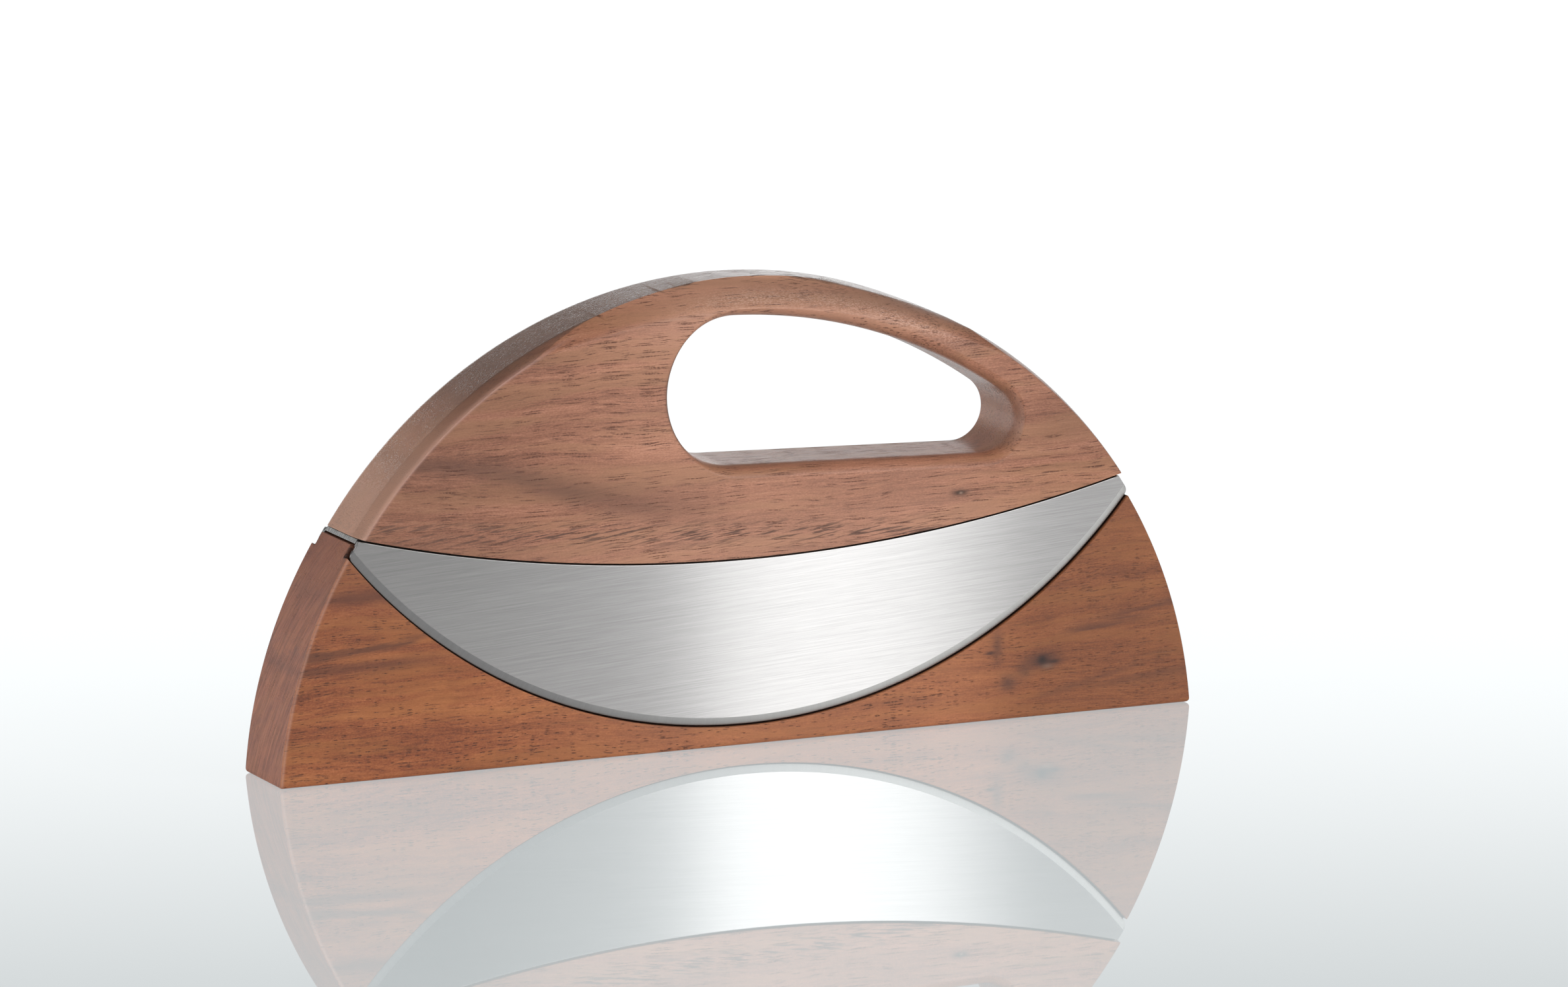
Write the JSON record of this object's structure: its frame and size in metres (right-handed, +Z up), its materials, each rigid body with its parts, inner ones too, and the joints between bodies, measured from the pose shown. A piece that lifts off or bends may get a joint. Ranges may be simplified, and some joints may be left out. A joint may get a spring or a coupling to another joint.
{
  "type": "double-bladed mezzaluna with storage block",
  "caption": "Rocking herb chopper with two curved steel blades under an arched wooden handle, standing in a matching wooden storage block.",
  "frame": {"origin": "centre of the storage block's bottom face", "axes": "+X along the blades, to the right as seen from the front; +Z up; -Y is the front"},
  "size_m": [0.25, 0.0236, 0.1176],
  "materials": {
    "block_wood": "oiled reddish-brown hardwood, satin",
    "handle_wood": "oiled pinkish-brown hardwood, satin",
    "blade_steel": "stainless steel brushed along its length",
    "screw_steel": "plain stainless steel",
    "insert_brass": "turned brass"
  },
  "bodies": {
    "block": {"storage_block": "block_wood"},
    "chopper": {"handle": "handle_wood", "bridge_plate": "blade_steel", "blade_front": "blade_steel", "blade_rear": "blade_steel", "bridge_screws": "screw_steel", "threaded_inserts": "insert_brass"}
  },
  "joints": [
    {"name": "lift_out", "type": "slide", "parent": "block", "child": "chopper", "axis": [0, 0, 1], "range_m": [0, 0.06]}
  ]
}
